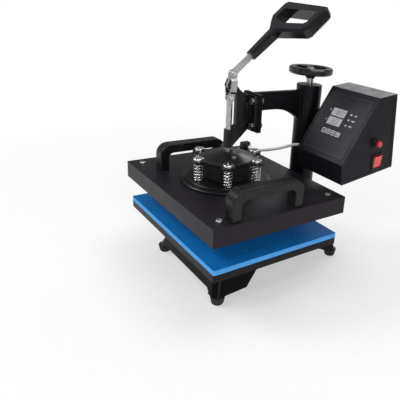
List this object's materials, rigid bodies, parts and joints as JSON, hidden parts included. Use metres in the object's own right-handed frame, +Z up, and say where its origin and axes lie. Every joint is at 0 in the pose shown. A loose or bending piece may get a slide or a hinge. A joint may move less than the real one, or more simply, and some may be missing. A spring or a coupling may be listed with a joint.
{
  "type": "swing-away heat press",
  "caption": "Swing-away flat heat press: sprung heated plate on a toggle clamp, silicone-padded lower plate, post with height wheel and tilted control box.",
  "frame": {"origin": "on the floor below the middle of the whole part, in the plane of the rubber feet's undersides", "axes": "+Z up, +Y to the rear where the post stands, +X to the operator's right where the control box is"},
  "size_m": [0.4122, 0.4478, 0.5831],
  "materials": {
    "black_paint": "semi-gloss",
    "plate_aluminium": "satin",
    "chrome": "polished",
    "bright_steel": "satin",
    "zinc": "satin",
    "black_iron": "satin",
    "brass": "satin",
    "black_plastic": "matte",
    "wheel_plastic": "gloss",
    "grip_plastic": "satin",
    "foot_rubber": "matte",
    "blue_silicone": "matte",
    "panel_print": "satin",
    "display": "gloss",
    "lamp": "gloss",
    "key_plastic": "satin",
    "red_plastic": "gloss",
    "board": "satin",
    "insulation": "matte",
    "sleeve": "matte"
  },
  "bodies": {
    "base": {"base_frame": "black_paint", "rubber_feet": "foot_rubber", "foot_screws": "zinc", "lower_platen": "black_paint", "silicone_pad": "blue_silicone", "platen_bolts": "zinc", "inner_post": "chrome", "post_bolts": "zinc"},
    "wheel": {"handwheel": "wheel_plastic", "adjusting_screw": "bright_steel", "wheel_nut": "zinc"},
    "lift": {"slide_bushes": "brass"},
    "head": {"swing_tube": "black_paint", "tube_cap": "black_paint", "arm_plate": "black_paint", "mount_plate": "black_paint", "clamp_body": "black_paint", "clamp_bolts": "zinc", "centre_rivet": "bright_steel", "box_bracket": "black_paint", "box_shell": "black_paint", "box_back_plate": "black_paint", "control_panel": "panel_print", "display_windows": "display", "indicator_lamps": "lamp", "circuit_board": "board", "breaker_holder": "black_plastic", "switch_bezel": "black_plastic", "box_screws": "zinc", "cable_glands": "black_plastic", "heater_cable": "sleeve"},
    "lever": {"lever_bar": "zinc", "d_grip": "grip_plastic"},
    "link": {"link_cheeks": "zinc", "upper_rivet": "bright_steel", "lower_rivet_heads": "bright_steel"},
    "ram": {"plunger": "bright_steel", "plunger_rivet": "bright_steel", "lock_nut": "zinc", "spider_plate": "black_paint", "dome_screw": "zinc"},
    "upper_plate": {"base_disc": "black_paint", "centre_drum": "black_iron", "shoulder_bolts": "bright_steel", "pressure_springs": "bright_steel", "cover_shell": "black_paint", "cover_screws": "zinc", "heating_platen": "plate_aluminium", "heating_element": "bright_steel", "insulation": "insulation", "side_handle_left": "black_plastic", "side_handle_right": "black_plastic", "handle_screws": "zinc", "platen_gland": "black_plastic"},
    "key_body_1": {"key_1": "key_plastic"},
    "key_body_2": {"key_2": "key_plastic"},
    "key_body_3": {"key_3": "key_plastic"},
    "key_body_4": {"key_4": "key_plastic"},
    "rocker_body": {"rocker": "red_plastic"},
    "breaker_body": {"breaker_button": "red_plastic"}
  },
  "joints": [
    {"name": "wheel_spin", "type": "hinge", "parent": "base", "child": "wheel", "pos_m": [-0.0091, 0.13513, 0.43], "axis": [0, 0, 1], "range_deg": [0, 1440.01]},
    {"name": "head_lift", "type": "slide", "parent": "base", "child": "lift", "axis": [0, 0, 1], "range_m": [0, 0.008]},
    {"name": "head_swing", "type": "hinge", "parent": "lift", "child": "head", "pos_m": [-0.0091, 0.13513, 0.25], "axis": [0, 0, 1], "range_deg": [-180, 180]},
    {"name": "lever_turn", "type": "hinge", "parent": "head", "child": "lever", "pos_m": [-0.0091, -0.07887, 0.415], "axis": [1, 0, 0], "range_deg": [0, 193]},
    {"name": "link_turn", "type": "hinge", "parent": "lever", "child": "link", "pos_m": [-0.0091, -0.07352, 0.43819], "axis": [1, 0, 0], "range_deg": [-186.86, 0]},
    {"name": "ram_slide", "type": "slide", "parent": "head", "child": "ram", "axis": [0, 0, -1], "range_m": [0, 0.04729]},
    {"name": "plate_float", "type": "slide", "parent": "ram", "child": "upper_plate", "axis": [0, 0, 1], "range_m": [0, 0.003], "stiffness_N_per_m": 30000, "springref_m": -0.006, "deforming": ["pressure_springs"]},
    {"name": "key_1_press", "type": "slide", "parent": "head", "child": "key_body_1", "axis": [0, 0.8342, -0.5514], "range_m": [0, 0.0008], "stiffness_N_per_m": 400, "springref_m": -0.0005},
    {"name": "key_2_press", "type": "slide", "parent": "head", "child": "key_body_2", "axis": [0, 0.8342, -0.5514], "range_m": [0, 0.0008], "stiffness_N_per_m": 400, "springref_m": -0.0005},
    {"name": "key_3_press", "type": "slide", "parent": "head", "child": "key_body_3", "axis": [0, 0.8342, -0.5514], "range_m": [0, 0.0008], "stiffness_N_per_m": 400, "springref_m": -0.0005},
    {"name": "key_4_press", "type": "slide", "parent": "head", "child": "key_body_4", "axis": [0, 0.8342, -0.5514], "range_m": [0, 0.0008], "stiffness_N_per_m": 400, "springref_m": -0.0005},
    {"name": "rocker_tilt", "type": "hinge", "parent": "head", "child": "rocker_body", "pos_m": [0.1921, 0.16695, 0.27971], "axis": [0, -0.9928, -0.1201], "range_deg": [0, 14]},
    {"name": "breaker_press", "type": "slide", "parent": "head", "child": "breaker_body", "axis": [-1, 0, 0], "range_m": [0, 0.003], "stiffness_N_per_m": 800, "springref_m": -0.001}
  ],
  "couplings": [
    {"joint": "wheel_spin", "follows": "head_lift", "rad_per_m": 3141.6},
    {"joint": "link_turn", "follows": "lever_turn", "ratio": -0.96815},
    {"joint": "ram_slide", "follows": "lever_turn", "m_per_rad": 0.014035}
  ]
}
